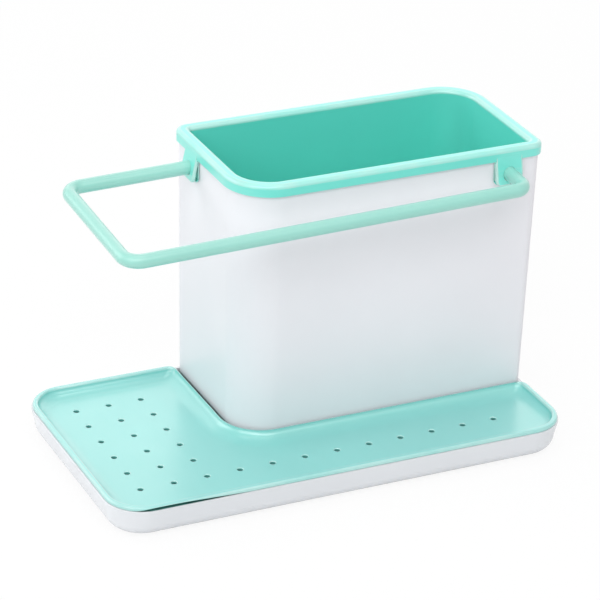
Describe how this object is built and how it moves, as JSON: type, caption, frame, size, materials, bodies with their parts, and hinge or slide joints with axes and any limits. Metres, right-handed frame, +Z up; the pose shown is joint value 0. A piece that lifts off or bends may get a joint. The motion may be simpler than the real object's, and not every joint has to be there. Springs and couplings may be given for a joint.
{
  "type": "sink caddy",
  "caption": "Sink caddy: a low base tray with an L-shaped pierced drain tray, a tall bin with a lift-out liner, and a bent round rod on the liner's rim as a towel rail.",
  "frame": {"origin": "centre of the base tray's outline, on the surface that the four feet stand on", "axes": "+Z up; +X along the long side, towards the end where the bin stands; +Y to the back, away from the towel rail's front bar"},
  "size_m": [0.2116, 0.1152, 0.1305],
  "materials": {
    "base_white": "gloss",
    "bin_white": "satin",
    "tray_mint": "gloss",
    "liner_mint": "satin",
    "rail_mint": "gloss",
    "foot_pad": "matte"
  },
  "bodies": {
    "base": {"base_tray": "base_white", "foot_front_left": "foot_pad", "foot_front_right": "foot_pad", "foot_back_left": "foot_pad", "foot_back_right": "foot_pad"},
    "drain_tray": {"drain_tray": "tray_mint"},
    "bin": {"outer_bin": "bin_white"},
    "liner": {"liner": "liner_mint", "towel_rail": "rail_mint"}
  },
  "joints": [
    {"name": "drain_tray_lift", "type": "slide", "parent": "base", "child": "drain_tray", "axis": [0, 0, 1], "range_m": [0, 0.025]},
    {"name": "bin_lift", "type": "slide", "parent": "base", "child": "bin", "axis": [0, 0, 1], "range_m": [0, 0.06]},
    {"name": "liner_lift", "type": "slide", "parent": "bin", "child": "liner", "axis": [0, 0, 1], "range_m": [0, 0.115]}
  ]
}
